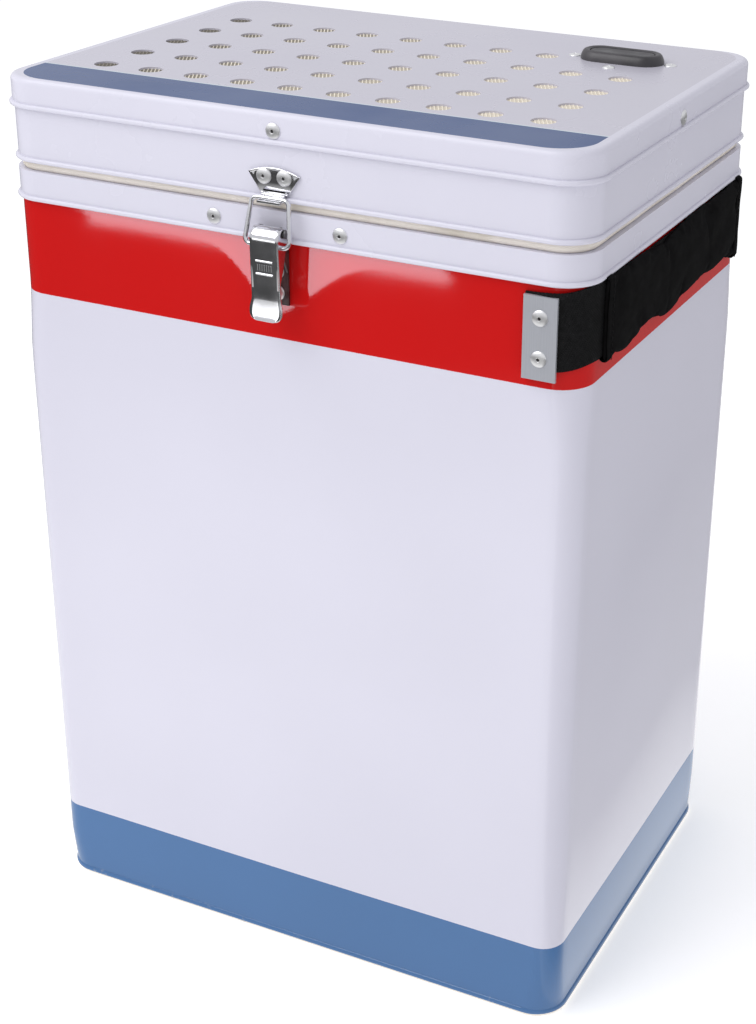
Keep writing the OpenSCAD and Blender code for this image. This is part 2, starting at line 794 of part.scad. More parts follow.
base_pan();
outer_shell();
wall_insulation();
base_insulation();
liner_floor();
liner_wall();
collar_frame();
lid_seal();
latch_backing_bar();
collar_rivets();
latch_base();
latch_base_rivets();
lever_pin();
hinge_body_leaves();
hinge_pins();
hinge_body_rivets();
strap_webbing();
strap_sleeve();
strap_clamp_front();
strap_clamp_rear();
strap_rivets();
lid_cap();
lid_frame();
vent_screen();
filter_pad();
lid_inner_pan();
lid_rivets();
latch_keeper();
keeper_rivets();
port_ring();
port_backing_plate();
port_rivets();
hinge_lid_leaves();
hinge_lid_rivets();
latch_lever();
latch_bail();
port_plug();
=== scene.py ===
"""The looks of an upright battery safety box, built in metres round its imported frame."""

import json
import math

import bmesh
import bpy
from mathutils import Matrix, Vector, noise


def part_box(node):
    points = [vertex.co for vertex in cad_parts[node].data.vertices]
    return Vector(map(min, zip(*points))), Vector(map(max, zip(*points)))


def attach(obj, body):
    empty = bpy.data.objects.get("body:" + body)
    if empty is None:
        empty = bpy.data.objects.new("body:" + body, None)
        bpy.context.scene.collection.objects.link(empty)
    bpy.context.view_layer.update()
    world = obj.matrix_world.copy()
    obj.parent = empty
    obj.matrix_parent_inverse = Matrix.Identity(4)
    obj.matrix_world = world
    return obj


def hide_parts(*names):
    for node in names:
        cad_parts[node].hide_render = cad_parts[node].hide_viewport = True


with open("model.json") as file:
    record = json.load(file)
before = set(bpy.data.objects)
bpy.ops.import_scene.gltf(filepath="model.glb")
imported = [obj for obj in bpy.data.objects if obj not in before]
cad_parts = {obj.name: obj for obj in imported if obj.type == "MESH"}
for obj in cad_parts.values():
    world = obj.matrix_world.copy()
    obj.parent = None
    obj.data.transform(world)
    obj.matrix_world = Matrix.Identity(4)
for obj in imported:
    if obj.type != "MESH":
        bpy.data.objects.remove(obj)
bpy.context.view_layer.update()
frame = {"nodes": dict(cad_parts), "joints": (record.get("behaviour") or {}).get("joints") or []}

MM = 0.001

# Sizes that the frame's boxes don't give
CORNER_R = 18 * MM
SLACK_CORNER_R = 13 * MM        # upright corners away from the collar and the base
SHEET = 1 * MM
FOOT = 1.7 * MM                 # height of the bare foot under the blue band
BAND_LOW = 46.5 * MM            # upper edge of the blue band
BAND_HIGH = 367.6 * MM          # lower edge of the red band
VENT_PITCH = Vector((27.2 * MM, 32.9 * MM, 0))
VENT_FIRST = Vector((-126.7 * MM, -72.6 * MM, 0))
VENT_COLUMNS = 10
VENT_ROWS = 5
VENT_SHORT_COLUMNS = 2          # the last columns have no hole in the last row
VENT_D = 12.5 * MM
ROLL_R = 6.2 * MM               # the lever's rolled top
# The sleeve's wavy edges, as (place along it, height) in mm
SLEEVE_BOTTOM = [(-98, 377.0), (-72, 374.6), (-44, 378.6), (-12, 374.2),
                 (38, 377.6), (75, 376.0), (98, 373.8)]
SLEEVE_TOP = [(-98, 419.2), (-55, 419.8), (-22, 416.6), (8, 419.4), (98, 419.6)]

# Where things are, from the frame
shell_low, shell_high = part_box("outer_shell")
collar_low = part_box("collar_frame")[0]
cap_low, cap_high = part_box("lid_cap")
wall_front, wall_right = shell_low.y, shell_high.x
lid_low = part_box("lid_frame")[0].z
joint_places = {joint["name"]: joint["pos_m"] for joint in frame["joints"] if "pos_m" in joint}
lever_pivot = Vector(joint_places["latch_lever_turn"])
bail_pivot = Vector(joint_places["bail_turn"])
lever_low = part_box("latch_lever")[0]
roll_z = lever_pivot.z - 3 * MM             # middle of the lever's rolled top
bail_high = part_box("latch_bail")[1]
bail_bar = Vector((0, bail_high.y - 1 * MM, bail_high.z - 1 * MM))

# Colours, as linear light
WHITE = (0.66, 0.65, 0.74, 1)
RED = (0.55, 0.008, 0.008, 1)
BLUE = (0.055, 0.155, 0.35, 1)
STRIPE_BLUE = (0.035, 0.08, 0.225, 1)
PALE_LINE = (0.62, 0.72, 0.76, 1)
# Painted shade: the white enamel darkened for the flat lid top, which is lit less than its rolled edges
PAINTED_TOP_SHADE = (0.56, 0.545, 0.62, 1)
CREAM = (0.86, 0.80, 0.72, 1)
BLACK_CLOTH = (0.005, 0.005, 0.0052, 1)


# ---------- materials ----------


class Surface:
    """A Principled material and short ways to add nodes to it. Its places are in the frame's metres."""

    def __init__(self, name, colour, roughness, **sockets):
        self.material = bpy.data.materials.new(name)
        self.material.use_nodes = True
        self.tree = self.material.node_tree
        self.shader = self.tree.nodes["Principled BSDF"]
        self.place = self.add("TexCoord").outputs["Object"]
        self.put(self.shader.inputs["Base Color"], colour)
        self.put(self.shader.inputs["Roughness"], roughness)
        for socket, value in sockets.items():
            self.put(self.shader.inputs[socket.replace("_", " ")], value)

    def put(self, socket, value):
        if isinstance(value, bpy.types.NodeSocket):
            self.tree.links.new(value, socket)
        else:
            socket.default_value = value

    def add(self, kind, inputs=(), **properties):
        node = self.tree.nodes.new("ShaderNode" + kind)
        for name, value in properties.items():
            setattr(node, name, value)
        for name, value in dict(inputs).items():
            self.put(node.inputs[name], value)
        return node

    def maths(self, operation, a, b=0.0):
        node = self.add("Math", operation=operation)
        for socket, value in zip(node.inputs, (a, b)):
            self.put(socket, value)
        return node.outputs[0]

    def axis(self, name):
        return self.add("SeparateXYZ", {"Vector": self.place}).outputs[name]

    def step(self, value, edge, soft=0.1 * MM):
        """0 below the edge and 1 above it."""
        return self.spread(value, 0.0, 1.0, edge - soft, edge + soft)

    def noise(self, scale, detail=3.0, place=None, rough=0.5):
        inputs = {"Vector": place or self.place, "Scale": scale, "Detail": detail, "Roughness": rough}
        return self.add("TexNoise", inputs).outputs["Fac"]

    def stretched(self, scale, turn=(0, 0, 0)):
        inputs = {"Vector": self.place, "Scale": scale, "Rotation": turn}
        return self.add("Mapping", inputs).outputs["Vector"]

    def spread(self, value, low=0.0, high=1.0, start=0.3, end=0.7):
        inputs = {"Value": value, "From Min": start, "From Max": end, "To Min": low, "To Max": high}
        return self.add("MapRange", inputs).outputs["Result"]

    def mix(self, share, a, b):
        node = self.add("Mix", data_type="RGBA")
        for index, value in ((0, share), (6, a), (7, b)):
            self.put(node.inputs[index], value)
        return node.outputs[2]

    def colour(self, value):
        self.put(self.shader.inputs["Base Color"], value)

    def mottle(self, value, a, b):
        """Colours it from a to b as the value goes over its usual spread."""
        self.colour(self.mix(self.spread(value), a, b))

    def roughness(self, value):
        self.put(self.shader.inputs["Roughness"], value)

    def bump(self, height, distance, strength=1.0):
        """Adds a bump on top of the ones before it."""
        inputs = {"Height": height, "Distance": distance, "Strength": strength}
        node = self.add("Bump", inputs)
        before = self.shader.inputs["Normal"].links
        if before:
            self.put(node.inputs["Normal"], before[0].from_socket)
        self.put(self.shader.inputs["Normal"], node.outputs["Normal"])


def gloss_paint(name, rough, shine):
    """Glossy stove enamel on thin sheet: a faint orange peel, slow waves in the sheet, and soft smudges."""
    s = Surface(name, WHITE, rough, Specular_IOR_Level=shine)
    s.bump(s.noise(11, 1.0), 0.2 * MM, 0.5)
    s.bump(s.noise(900, 2.0), 0.02 * MM, 0.2)
    s.smudges = s.spread(s.noise(16, 5.0), rough * 0.8, rough * 1.4)
    s.roughness(s.smudges)
    return s


def worn(s, base, height):
    """Adds scuffs that show dull grey on the lowest edge."""
    low = s.maths("SUBTRACT", 1.0, s.step(s.axis("Z"), height, 2.5 * MM))
    scuff = s.maths("MULTIPLY", low, s.step(s.noise(160, 6.0, rough=0.7), 0.62, 0.03))
    s.roughness(s.maths("ADD", s.smudges, s.maths("MULTIPLY", scuff, 0.4)))
    s.colour(s.mix(s.maths("MULTIPLY", scuff, 0.6), base, (0.36, 0.36, 0.37, 1)))


def faded(s, colour, depth=0.94):
    """The colour with a slow, weak change from place to place."""
    other = tuple(channel * depth for channel in colour[:3]) + (1,)
    return s.mix(s.spread(s.noise(5, 2.0)), colour, other)


def band_paint():
    """The body's enamel: white, with a red band at the top, a blue one at the bottom and a pale foot."""
    s = gloss_paint("body_enamel", 0.04, 0.6)
    ragged = s.maths("MULTIPLY", s.maths("SUBTRACT", s.noise(1500, 1.0), 0.5), 0.25 * MM)
    height = s.maths("ADD", s.axis("Z"), ragged)
    above_blue = s.step(height, BAND_LOW)
    above_white = s.step(height, BAND_HIGH)
    blue = s.mix(s.step(height, FOOT), CREAM, faded(s, BLUE, 0.9))
    lower = s.mix(above_blue, blue, faded(s, WHITE))
    worn(s, s.mix(above_white, lower, faded(s, RED, 0.93)), 3 * MM)
    return s.material


def white_paint():
    s = gloss_paint("white_enamel", 0.22, 0.4)
    worn(s, faded(s, WHITE), 2 * MM)
    return s.material


def lid_paint():
    """The cap's enamel: a printed blue stripe along the front of the flat top, and painted shade in grey
    over the rest of the flat top, which is lit less than its rolled edges.
    """
    s = gloss_paint("lid_enamel", 0.24, 0.3)
    inset, print_and_shade_r, stripe_back, line_w = (7.6 * MM, 4.3 * MM), 20 * MM, -85.7 * MM, 0.9 * MM
    half = ((cap_high.x - cap_low.x) / 2 - inset[0], (cap_high.y - cap_low.y) / 2 - inset[1])
    past = []
    for axis, size in zip("XY", half):
        away = s.maths("SUBTRACT", s.maths("ABSOLUTE", s.axis(axis)), size - print_and_shade_r)
        past.append(s.maths("MAXIMUM", away, 0.0))
    squares = [s.maths("MULTIPLY", value, value) for value in past]
    reach = s.maths("SQRT", s.maths("ADD", *squares))
    inside = s.maths("SUBTRACT", 1.0, s.step(reach, print_and_shade_r))
    on_top = s.step(s.axis("Z"), cap_high.z - 0.8 * MM, 0.2 * MM)
    # This mask holds both the printed stripe and the painted shade of the flat top
    print_and_shade = s.maths("MULTIPLY", inside, on_top)
    behind_stripe = s.step(s.axis("Y"), stripe_back)
    behind_line = s.step(s.axis("Y"), stripe_back + line_w)
    print_and_shade_colour = s.mix(behind_stripe, faded(s, STRIPE_BLUE, 0.88), PALE_LINE)
    # painted shade: grey over the flat top behind the printed stripe and its pale line
    print_and_shade_colour = s.mix(behind_line, print_and_shade_colour, faded(s, PAINTED_TOP_SHADE, 0.95))
    s.colour(s.mix(print_and_shade, faded(s, WHITE), print_and_shade_colour))
    return s.material


def chrome():
    """Bright nickel plate with hair scratches and finger smudges."""
    s = Surface("bright_nickel", (0.82, 0.82, 0.84, 1), 0.1, Metallic=1.0)
    hair = s.noise(1.0, 3.0, s.stretched((3000, 3000, 160)))
    s.bump(hair, 0.01 * MM, 0.3)
    s.roughness(s.spread(s.noise(90, 4.0), 0.05, 0.2))
    s.mottle(s.noise(45), (0.84, 0.84, 0.86, 1), (0.70, 0.70, 0.73, 1))
    return s.material


def painted_shade_plate():
    """Plate behind the lever with painted shade: its dark colour stands in for the shade that falls on it
    beside the lever.
    """
    s = Surface("plate_in_painted_shade", (0.12, 0.12, 0.125, 1), 0.42, Metallic=0.9)
    s.bump(s.noise(1600), 0.02 * MM, 0.4)
    # painted shade: the dark mottled colour stands in for the shade beside the lever
    s.mottle(s.noise(160), (0.07, 0.07, 0.075, 1), (0.2, 0.2, 0.2, 1))
    return s.material


def rivet_metal():
    s = Surface("rivet_aluminium", (0.86, 0.86, 0.87, 1), 0.36, Metallic=0.9)
    s.bump(s.noise(1400), 0.03 * MM, 0.4)
    s.roughness(s.spread(s.noise(300, 4.0), 0.3, 0.44))
    s.mottle(s.noise(200), (0.93, 0.93, 0.93, 1), (0.80, 0.80, 0.81, 1))
    return s.material


def mandrel_steel():
    """The broken stem down in a pop rivet's middle."""
    s = Surface("mandrel_steel", (0.05, 0.05, 0.055, 1), 0.5, Metallic=0.8)
    s.bump(s.noise(2500), 0.05 * MM, 0.6)
    s.colour(s.mix(s.noise(1200, 2.0), (0.03, 0.03, 0.035, 1), (0.11, 0.10, 0.10, 1)))
    return s.material


def brushed_aluminium():
    """Satin strip, brushed along its length, which is upright."""
    s = Surface("brushed_aluminium", (0.42, 0.435, 0.48, 1), 0.5, Metallic=0.6)
    grain = s.noise(1.0, 4.0, s.stretched((2600, 2600, 45)))
    s.bump(grain, 0.02 * MM, 0.5)
    s.roughness(s.spread(grain, 0.36, 0.52))
    s.mottle(grain, (0.56, 0.575, 0.62, 1), (0.51, 0.525, 0.57, 1))
    return s.material


def zinc_plate():
    """Zinc plating with a faint blue and straw bloom."""
    s = Surface("zinc_plating", (0.6, 0.61, 0.63, 1), 0.3, Metallic=1.0)
    s.mottle(s.noise(70), (0.56, 0.60, 0.66, 1), (0.66, 0.63, 0.55, 1))
    s.bump(s.noise(1800), 0.03 * MM, 0.4)
    s.roughness(s.spread(s.noise(240, 4.0), 0.22, 0.42))
    return s.material


def bare_sheet():
    """Galvanised sheet, with the spangle that the zinc leaves."""
    s = Surface("galvanised_sheet", (0.58, 0.60, 0.62, 1), 0.38, Metallic=0.95)
    cells = s.add("TexVoronoi", {"Vector": s.place, "Scale": 260.0}).outputs["Color"]
    grey = s.add("RGBToBW", {"Color": cells}).outputs["Val"]
    s.mottle(grey, (0.56, 0.575, 0.59, 1), (0.62, 0.635, 0.65, 1))
    s.roughness(s.spread(grey, 0.34, 0.44))
    s.bump(s.noise(9, 1.0), 0.4 * MM, 0.4)
    s.bump(s.noise(1500, 2.0), 0.02 * MM, 0.3)
    return s.material


def weave_height(s, first, second, pitch):
    """Height of a plain weave of two sets of threads along two directions, at a given pitch."""
    threads = []
    for direction in (first, second):
        dot = s.add("VectorMath", {0: s.place, 1: direction}, operation="DOT_PRODUCT").outputs["Value"]
        threads.append(s.maths("SINE", s.maths("MULTIPLY", dot, 2 * math.pi / pitch)))
    over = s.maths("MULTIPLY", threads[0], threads[1])
    return s.maths("ADD", s.maths("MULTIPLY", over, 0.5), 0.5)


def webbing():
    """Black polypropylene webbing: a coarse weave in ribs along the strap."""
    s = Surface("black_webbing", BLACK_CLOTH, 0.7, Specular_IOR_Level=0.16)
    weave = weave_height(s, (1, 1, 0.4), (0, 0, 1), 1.9 * MM)
    s.bump(weave, 0.35 * MM, 0.7)
    s.bump(s.noise(2500), 0.1 * MM, 0.4)
    s.mottle(s.noise(500, 4.0), (0.0035, 0.0035, 0.0038, 1), (0.008, 0.008, 0.0085, 1))
    s.roughness(s.spread(weave, 0.62, 0.85, 0.0, 1.0))
    return s.material


def sleeve_cloth():
    """Black fleece-backed cloth: a fine twill, and a nap that catches the light."""
    s = Surface("sleeve_cloth", BLACK_CLOTH, 0.9, Specular_IOR_Level=0.06)
    twill = weave_height(s, (0, 1, 0.9), (0, 0.35, -1), 1.1 * MM)
    s.bump(twill, 0.16 * MM, 0.6)
    s.bump(s.noise(60, 5.0), 0.9 * MM, 0.5)
    s.bump(s.noise(1800), 0.12 * MM, 0.5)
    nap = s.noise(130, 6.0, rough=0.65)
    s.mottle(nap, (0.0032, 0.003, 0.0032, 1), (0.0075, 0.0072, 0.0075, 1))
    return s.material


def thread():
    s = Surface("black_thread", (0.009, 0.009, 0.0095, 1), 0.6, Specular_IOR_Level=0.2)
    s.bump(s.noise(1.0, 2.0, s.stretched((900, 900, 2600), (0.6, 0, 0))), 0.08 * MM, 0.6)
    s.roughness(s.spread(s.noise(700, 2.0), 0.5, 0.75))
    return s.material


def seal_cord():
    """Cream glass-fibre tape: a fine braid, a little soiled in places."""
    s = Surface("seal_braid", CREAM, 0.8)
    braid = weave_height(s, (1, 1, 1), (1, 1, -1), 1.3 * MM)
    s.bump(braid, 0.22 * MM, 0.7)
    s.bump(s.noise(1500), 0.1 * MM, 0.4)
    soil = s.spread(s.noise(30, 5.0), 0.0, 1.0, 0.45, 0.75)
    s.colour(s.mix(soil, CREAM, (0.66, 0.60, 0.50, 1)))
    return s.material


def fibre_blanket():
    s = Surface("ceramic_fibre", CREAM, 0.95)
    tufts = s.noise(1.0, 5.0, s.stretched((400, 900, 500)))
    s.bump(tufts, 0.5 * MM, 0.7)
    s.mottle(tufts, (0.80, 0.76, 0.66, 1), (0.58, 0.54, 0.45, 1))
    return s.material


def screen_wire():
    """Glass-fibre cords of the screen, darker at the left of the lid."""
    s = Surface("screen_wire", (0.74, 0.70, 0.60, 1), 0.6)
    s.bump(s.noise(4000, 2.0), 0.02 * MM, 0.3)
    cord = s.mix(s.spread(s.noise(350)), (0.92, 0.85, 0.72, 1), (0.76, 0.70, 0.58, 1))
    lighter_to_right = s.spread(s.axis("X"), 0.0, 1.0, -118 * MM, -92 * MM)
    s.colour(s.mix(lighter_to_right, (0.24, 0.215, 0.18, 1), cord))
    return s.material


def screen_backing():
    """What shows between the cords: dark at the left, and pale fibre towards the right."""
    s = Surface("screen_backing", (0.2, 0.18, 0.15, 1), 0.95)
    s.bump(s.noise(1500), 0.2 * MM, 0.5)
    across = s.axis("X")
    lighter_from_left = s.spread(across, 0.0, 1.0, -120 * MM, -60 * MM)
    near = s.mix(lighter_from_left, (0.11, 0.098, 0.08, 1), (0.27, 0.24, 0.19, 1))
    far = s.mix(s.spread(across, 0.0, 1.0, -60 * MM, 90 * MM), near, (0.74, 0.67, 0.56, 1))
    s.colour(s.mix(s.spread(s.noise(500, 2.0), 0.0, 0.3), far, (0.3, 0.27, 0.22, 1)))
    return s.material


def rubber():
    """Moulded black rubber with a fine grain and a grey bloom."""
    s = Surface("black_rubber", (0.03, 0.028, 0.032, 1), 0.42, Specular_IOR_Level=0.6)
    s.bump(s.noise(1600), 0.05 * MM, 0.5)
    bloom = s.spread(s.noise(60, 5.0), 0.0, 1.0, 0.4, 0.75)
    s.colour(s.mix(bloom, (0.026, 0.024, 0.028, 1), (0.06, 0.055, 0.062, 1)))
    s.roughness(s.spread(s.noise(120, 4.0), 0.34, 0.5))
    return s.material


# Materials that several places share
PAINT_BODY = band_paint()
CHROME = chrome()
RIVET = rivet_metal()
MANDREL = mandrel_steel()
SLEEVE = sleeve_cloth()
RUBBER = rubber()


# ---------- mesh helpers ----------


def new_object(name, data):
    """A new object in the scene that holds the data."""
    piece = bpy.data.objects.new(name, data)
    bpy.context.scene.collection.objects.link(piece)
    return piece


def applied(piece):
    """A new mesh with the piece's modifiers in it."""
    return bpy.data.meshes.new_from_object(piece.evaluated_get(bpy.context.evaluated_depsgraph_get()))


def full_turn(sides):
    """Evenly spaced angles round a circle."""
    return [2 * math.pi * k / sides for k in range(sides)]


def circle(centre, side, other, radius, sides):
    """Points round a centre, in the plane of two directions."""
    return [centre + (side * math.cos(a) + other * math.sin(a)) * radius for a in full_turn(sides)]


def finish_mesh(name, mesh, material, body, sharp=35):
    """Cleans a new mesh, shades it, and hangs it on its CAD body."""
    work = bmesh.new()
    work.from_mesh(mesh)
    bmesh.ops.remove_doubles(work, verts=work.verts, dist=1e-6)
    bmesh.ops.dissolve_degenerate(work, edges=work.edges, dist=1e-7)
    bmesh.ops.recalc_face_normals(work, faces=work.faces)
    work.to_mesh(mesh)
    work.free()
    mesh.shade_smooth()
    mesh.set_sharp_from_angle(angle=math.radians(sharp))
    piece = new_object(name, mesh)
    for item in material if isinstance(material, list) else [material]:
        mesh.materials.append(item)
    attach(piece, body)
    return piece


class Skin:
    """Points and faces that are gathered before they become one mesh."""

    def __init__(self):
        self.points = []
        self.faces = []
        self.indices = []

    def add(self, points, faces, material=0):
        start = len(self.points)
        self.points += [tuple(p) for p in points]
        self.faces += [tuple(start + i for i in face) for face in faces]
        self.indices += [material] * len(faces)

    def loft(self, rings, wrap=False, caps=False, material=0):
        """Joins rings of points. wrap joins the last ring to the first, and caps fills both ends."""
        n = len(rings[0])
        count = len(rings)
        faces = []
        for i in range(count if wrap else count - 1):
            a, b = i * n, (i + 1) % count * n
            faces += [(a + j, a + (j + 1) % n, b + (j + 1) % n, b + j) for j in range(n)]
        if caps:
            faces.append(tuple(reversed(range(n))))
            faces.append(tuple(range((count - 1) * n, count * n)))
        self.add([p for ring in rings for p in ring], faces, material)

    def tube(self, path, radius, sides):
        """A round tube along a path. Its rings turn as little as they can."""
        rings = []
        side = None
        for i, point in enumerate(path):
            along = (path[min(i + 1, len(path) - 1)] - path[max(i - 1, 0)]).normalized()
            if side is None:
                side = along.orthogonal().normalized()
            side = (side - along * side.dot(along)).normalized()
            other = along.cross(side)
            rings.append(circle(point, side, other, radius, sides))
        self.loft(rings, caps=True)

    def object(self, name, material, body, slot, sharp=35):
        mesh = bpy.data.meshes.new(name)
        mesh.from_pydata(self.points, [], self.faces)
        mesh.polygons.foreach_set("material_index", self.indices)
        return finish_mesh(name, mesh, material, body, sharp)


def bevelled(outline, axis, start, end, bevel, segments=2):
    """A plate cut to an outline in the two other axes, and rounded at its edges."""
    places = {"x": lambda a, b, c: (c, a, b), "y": lambda a, b, c: (a, c, b)}
    place = places[axis]
    work = bmesh.new()
    low = [work.verts.new(place(a, b, start)) for a, b in outline]
    high = [work.verts.new(place(a, b, end)) for a, b in outline]
    n = len(outline)
    work.faces.new(low)
    work.faces.new(high)
    for i in range(n):
        work.faces.new((low[i], low[(i + 1) % n], high[(i + 1) % n], high[i]))
    bmesh.ops.recalc_face_normals(work, faces=work.faces)
    sharp = [e for e in work.edges if e.calc_face_angle(0) > math.radians(28)]
    bmesh.ops.bevel(work, geom=sharp, offset=bevel, segments=segments, affect="EDGES", profile=0.5)
    bmesh.ops.triangulate(work, faces=[f for f in work.faces if len(f.verts) > 4])
    work.verts.index_update()
    points = [v.co.copy() for v in work.verts]
    faces = [[v.index for v in f.verts] for f in work.faces]
    work.free()
    return points, faces


def arc(cx, cy, r, start, end, steps):
    """Points on an arc, from one angle in degrees to another."""
    angles = [math.radians(start + (end - start) * i / steps) for i in range(steps + 1)]
    return [(cx + r * math.cos(a), cy + r * math.sin(a)) for a in angles]


def rounded_outline(w, d, r, arc_steps, x_steps=1, y_steps=1):
    """Points (x, y, nx, ny) anticlockwise round a rounded rectangle, from its right side's front end."""
    corners = [(1, 1, 0), (-1, 1, 90), (-1, -1, 180), (1, -1, 270)]
    points = []
    for index, (sx, sy, start) in enumerate(corners):
        cx, cy = sx * (w / 2 - r), sy * (d / 2 - r)
        nx, ny = math.cos(math.radians(start)), math.sin(math.radians(start))
        length, steps = (d - 2 * r, y_steps) if index % 2 == 0 else (w - 2 * r, x_steps)
        for i in range(steps):
            back = length * (1 - i / steps)
            points.append((cx + r * nx + ny * back, cy + r * ny - nx * back, nx, ny))
        for i in range(arc_steps):
            a = math.radians(start + 90 * i / arc_steps)
            points.append((cx + r * math.cos(a), cy + r * math.sin(a), math.cos(a), math.sin(a)))
    return points


def smooth(t):
    t = min(1.0, max(0.0, t))
    return t * t * (3 - 2 * t)


def through(stops, x):
    """A smooth value at x through (place, value) stops."""
    if x <= stops[0][0]:
        return stops[0][1]
    for (x0, v0), (x1, v1) in zip(stops, stops[1:]):
        if x <= x1:
            return v0 + (v1 - v0) * smooth((x - x0) / (x1 - x0))
    return stops[-1][1]


# ---------- body ----------


def sheet_bulge(x, y, nx, ny, z):
    """How far the body's thin wall stands out of true: a soft belly on each side, and a pinch under the
    collar round the latch, where the front leans in."""
    w, d = shell_high.x - CORNER_R, shell_high.y - CORNER_R
    on_front_or_back = abs(ny) > 0.999
    on_side = abs(nx) > 0.999
    if not (on_front_or_back or on_side):
        return 0.0
    across = min(1.0, abs(x) / w if on_front_or_back else abs(y) / d)
    low, high = 8 * MM, BAND_HIGH - 4 * MM
    rise = math.sin(math.pi * min(1.0, max(0.0, (z - low) / (high - low))))
    fullest = 2.0 * MM if on_front_or_back else 1.2 * MM
    belly = fullest * (1 - across ** 2) ** 2 * rise ** 1.3
    if ny > -0.999 or z > collar_low.z + 8 * MM:
        return belly
    off = x / (21 * MM if x < 0 else 29 * MM)
    depth = 2 * MM + 38 * MM * math.exp(-off * off)
    into = z - (collar_low.z - depth)
    ease, slope, furthest = 1.2 * MM, 0.036, 1.45 * MM
    lean = slope * (into * into / (2 * ease) if 0 < into < ease else max(0.0, into - ease / 2))
    return belly - min(lean, furthest)


def build_shell():
    """The outer wall, with its sheet's real thickness."""
    w, d = shell_high.x - shell_low.x, shell_high.y - shell_low.y
    coarse, fine = 28, 30
    turn_z = BAND_HIGH - 6 * MM
    levels = [shell_low.z + (turn_z - shell_low.z) * i / coarse for i in range(coarse)]
    levels += [turn_z + (shell_high.z - turn_z) * i / fine for i in range(fine + 1)]
    corners = [(5 * MM, CORNER_R), (22 * MM, SLACK_CORNER_R),
               (BAND_HIGH - 40 * MM, SLACK_CORNER_R), (BAND_HIGH + 6 * MM, CORNER_R)]
    rings = []
    for inset, heights in ((0.0, levels), (SHEET, reversed(levels))):
        for z in heights:
            radius = through(corners, z)
            outline = rounded_outline(w, d, radius, 10, x_steps=76, y_steps=36)
            out = [sheet_bulge(*p, z) - inset for p in outline]
            rings.append([(p[0] + p[2] * o, p[1] + p[3] * o, z) for p, o in zip(outline, out)])
    skin = Skin()
    skin.loft(rings, wrap=True)
    shell = skin.object("body_shell", PAINT_BODY, "box", "shell_paint")
    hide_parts("outer_shell")


def build_seal():
    """The seal between the collar and the lid, with a soft outer face that stands a little proud."""
    low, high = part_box("lid_seal")
    w, d = high.x - low.x, high.y - low.y
    soft = 1.4 * MM
    width = 11 * MM
    top = lid_low - 0.05 * MM
    mid, half = (low.z + top) / 2, (top - low.z) / 2
    face = [(soft * (math.cos(a) - 1), mid + half * math.sin(a)) for a in
            [math.radians(-90 + 180 * i / 10) for i in range(11)]]
    profile = [(-width, low.z)] + face + [(-width, top)]
    outline = rounded_outline(w, d, CORNER_R - SHEET, 10, x_steps=60, y_steps=44)
    rings = []
    for x, y, nx, ny in outline:
        give = 0.25 * MM * (noise.noise(Vector((x, y, 0)) * 45) - 0.6)
        rings.append([(x + nx * (o + give), y + ny * (o + give), z) for o, z in profile])
    skin = Skin()
    skin.loft(rings, wrap=True)
    seal = skin.object("seal_tape", seal_cord(), "box", "seal_cord", sharp=60)
    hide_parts("lid_seal")


# ---------- rivets ----------


def solids(node):
    """The (low, high) box of each separate solid of a CAD node."""
    work = bmesh.new()
    work.from_mesh(frame["nodes"][node].data)
    bmesh.ops.remove_doubles(work, verts=work.verts, dist=1e-5)
    left = set(work.verts)
    boxes = []
    while left:
        seed = left.pop()
        found, edge = [seed], [seed]
        while edge:
            vert = edge.pop()
            for link in vert.link_edges:
                other = link.other_vert(vert)
                if other in left:
                    left.discard(other)
                    found.append(other)
                    edge.append(other)
        low = Vector([min(v.co[i] for v in found) for i in range(3)])
        high = Vector([max(v.co[i] for v in found) for i in range(3)])
        boxes.append((low, high))
    work.free()
    return sorted(boxes, key=lambda b: tuple(b[0]))


def rivet_profile(grip, head_r):
    """Half section of a set pop rivet: (radius, height) from its stem's middle out and down to its tail."""
    k = head_r / (4 * MM)
    head = [(0, 0.9), (0.4, 0.86), (0.7, 0.72), (0.82, 0.6), (0.86, 1.1), (0.95, 1.28)]
    head += [(1.15, 1.34), (1.6, 1.3), (2.4, 1.14), (3.2, 0.9), (3.85, 0.58), (4.05, 0.3), (4.0, 0.0)]
    points = [(r * MM * k, z * MM * k) for r, z in head]
    shank = [(2.0 * MM, 0.0), (2.0 * MM, -grip), (2.6 * MM, -grip)]
    tail = [(2.6 * MM, -grip - 1.5 * MM), (2.0 * MM, -grip - 2 * MM), (0.0, -grip - 2 * MM)]
    return points + shank + tail


def build_rivets(node, body, head_r=4 * MM):
    """Detailed pop rivets where the CAD node has its own."""
    head_h, tail_h = 1.4 * MM, 2 * MM
    stem_rings = 3
    sides = 28
    skin = Skin()
    for low, high in solids(node):
        centre = (low + high) / 2
        size = high - low
        axis = min(range(3), key=lambda i: abs(size[(i + 1) % 3] - size[(i + 2) % 3]))
        sign = 1.0 if centre[axis] > 0 else -1.0
        base = high[axis] - head_h if sign > 0 else low[axis] + head_h
        grip = size[axis] - head_h - tail_h
        along, side = Vector((0, 0, 0)), Vector((0, 0, 0))
        along[axis] = sign
        side[(axis + 1) % 3] = 1
        other = along.cross(side)
        seat = centre.copy()
        seat[axis] = base
        rings = [circle(seat + along * z, side, other, r, sides) for r, z in rivet_profile(grip, head_r)]
        skin.loft(rings[:stem_rings + 1], material=1)
        skin.loft(rings[stem_rings:], material=0)
    piece = skin.object("set_" + node, [RIVET, MANDREL], body, "rivet_metal", sharp=50)
    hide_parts(node)


def build_all_rivets():
    """Every group of rivets, each on its CAD node's body."""
    groups = [("collar_rivets", "box"), ("latch_base_rivets", "box"), ("hinge_body_rivets", "box"),
              ("strap_rivets", "box"), ("lid_rivets", "lid"), ("keeper_rivets", "lid"),
              ("hinge_lid_rivets", "lid")]
    for node, body in groups:
        build_rivets(node, body)
    build_rivets("port_rivets", "lid", head_r=3.3 * MM)


# ---------- latch ----------


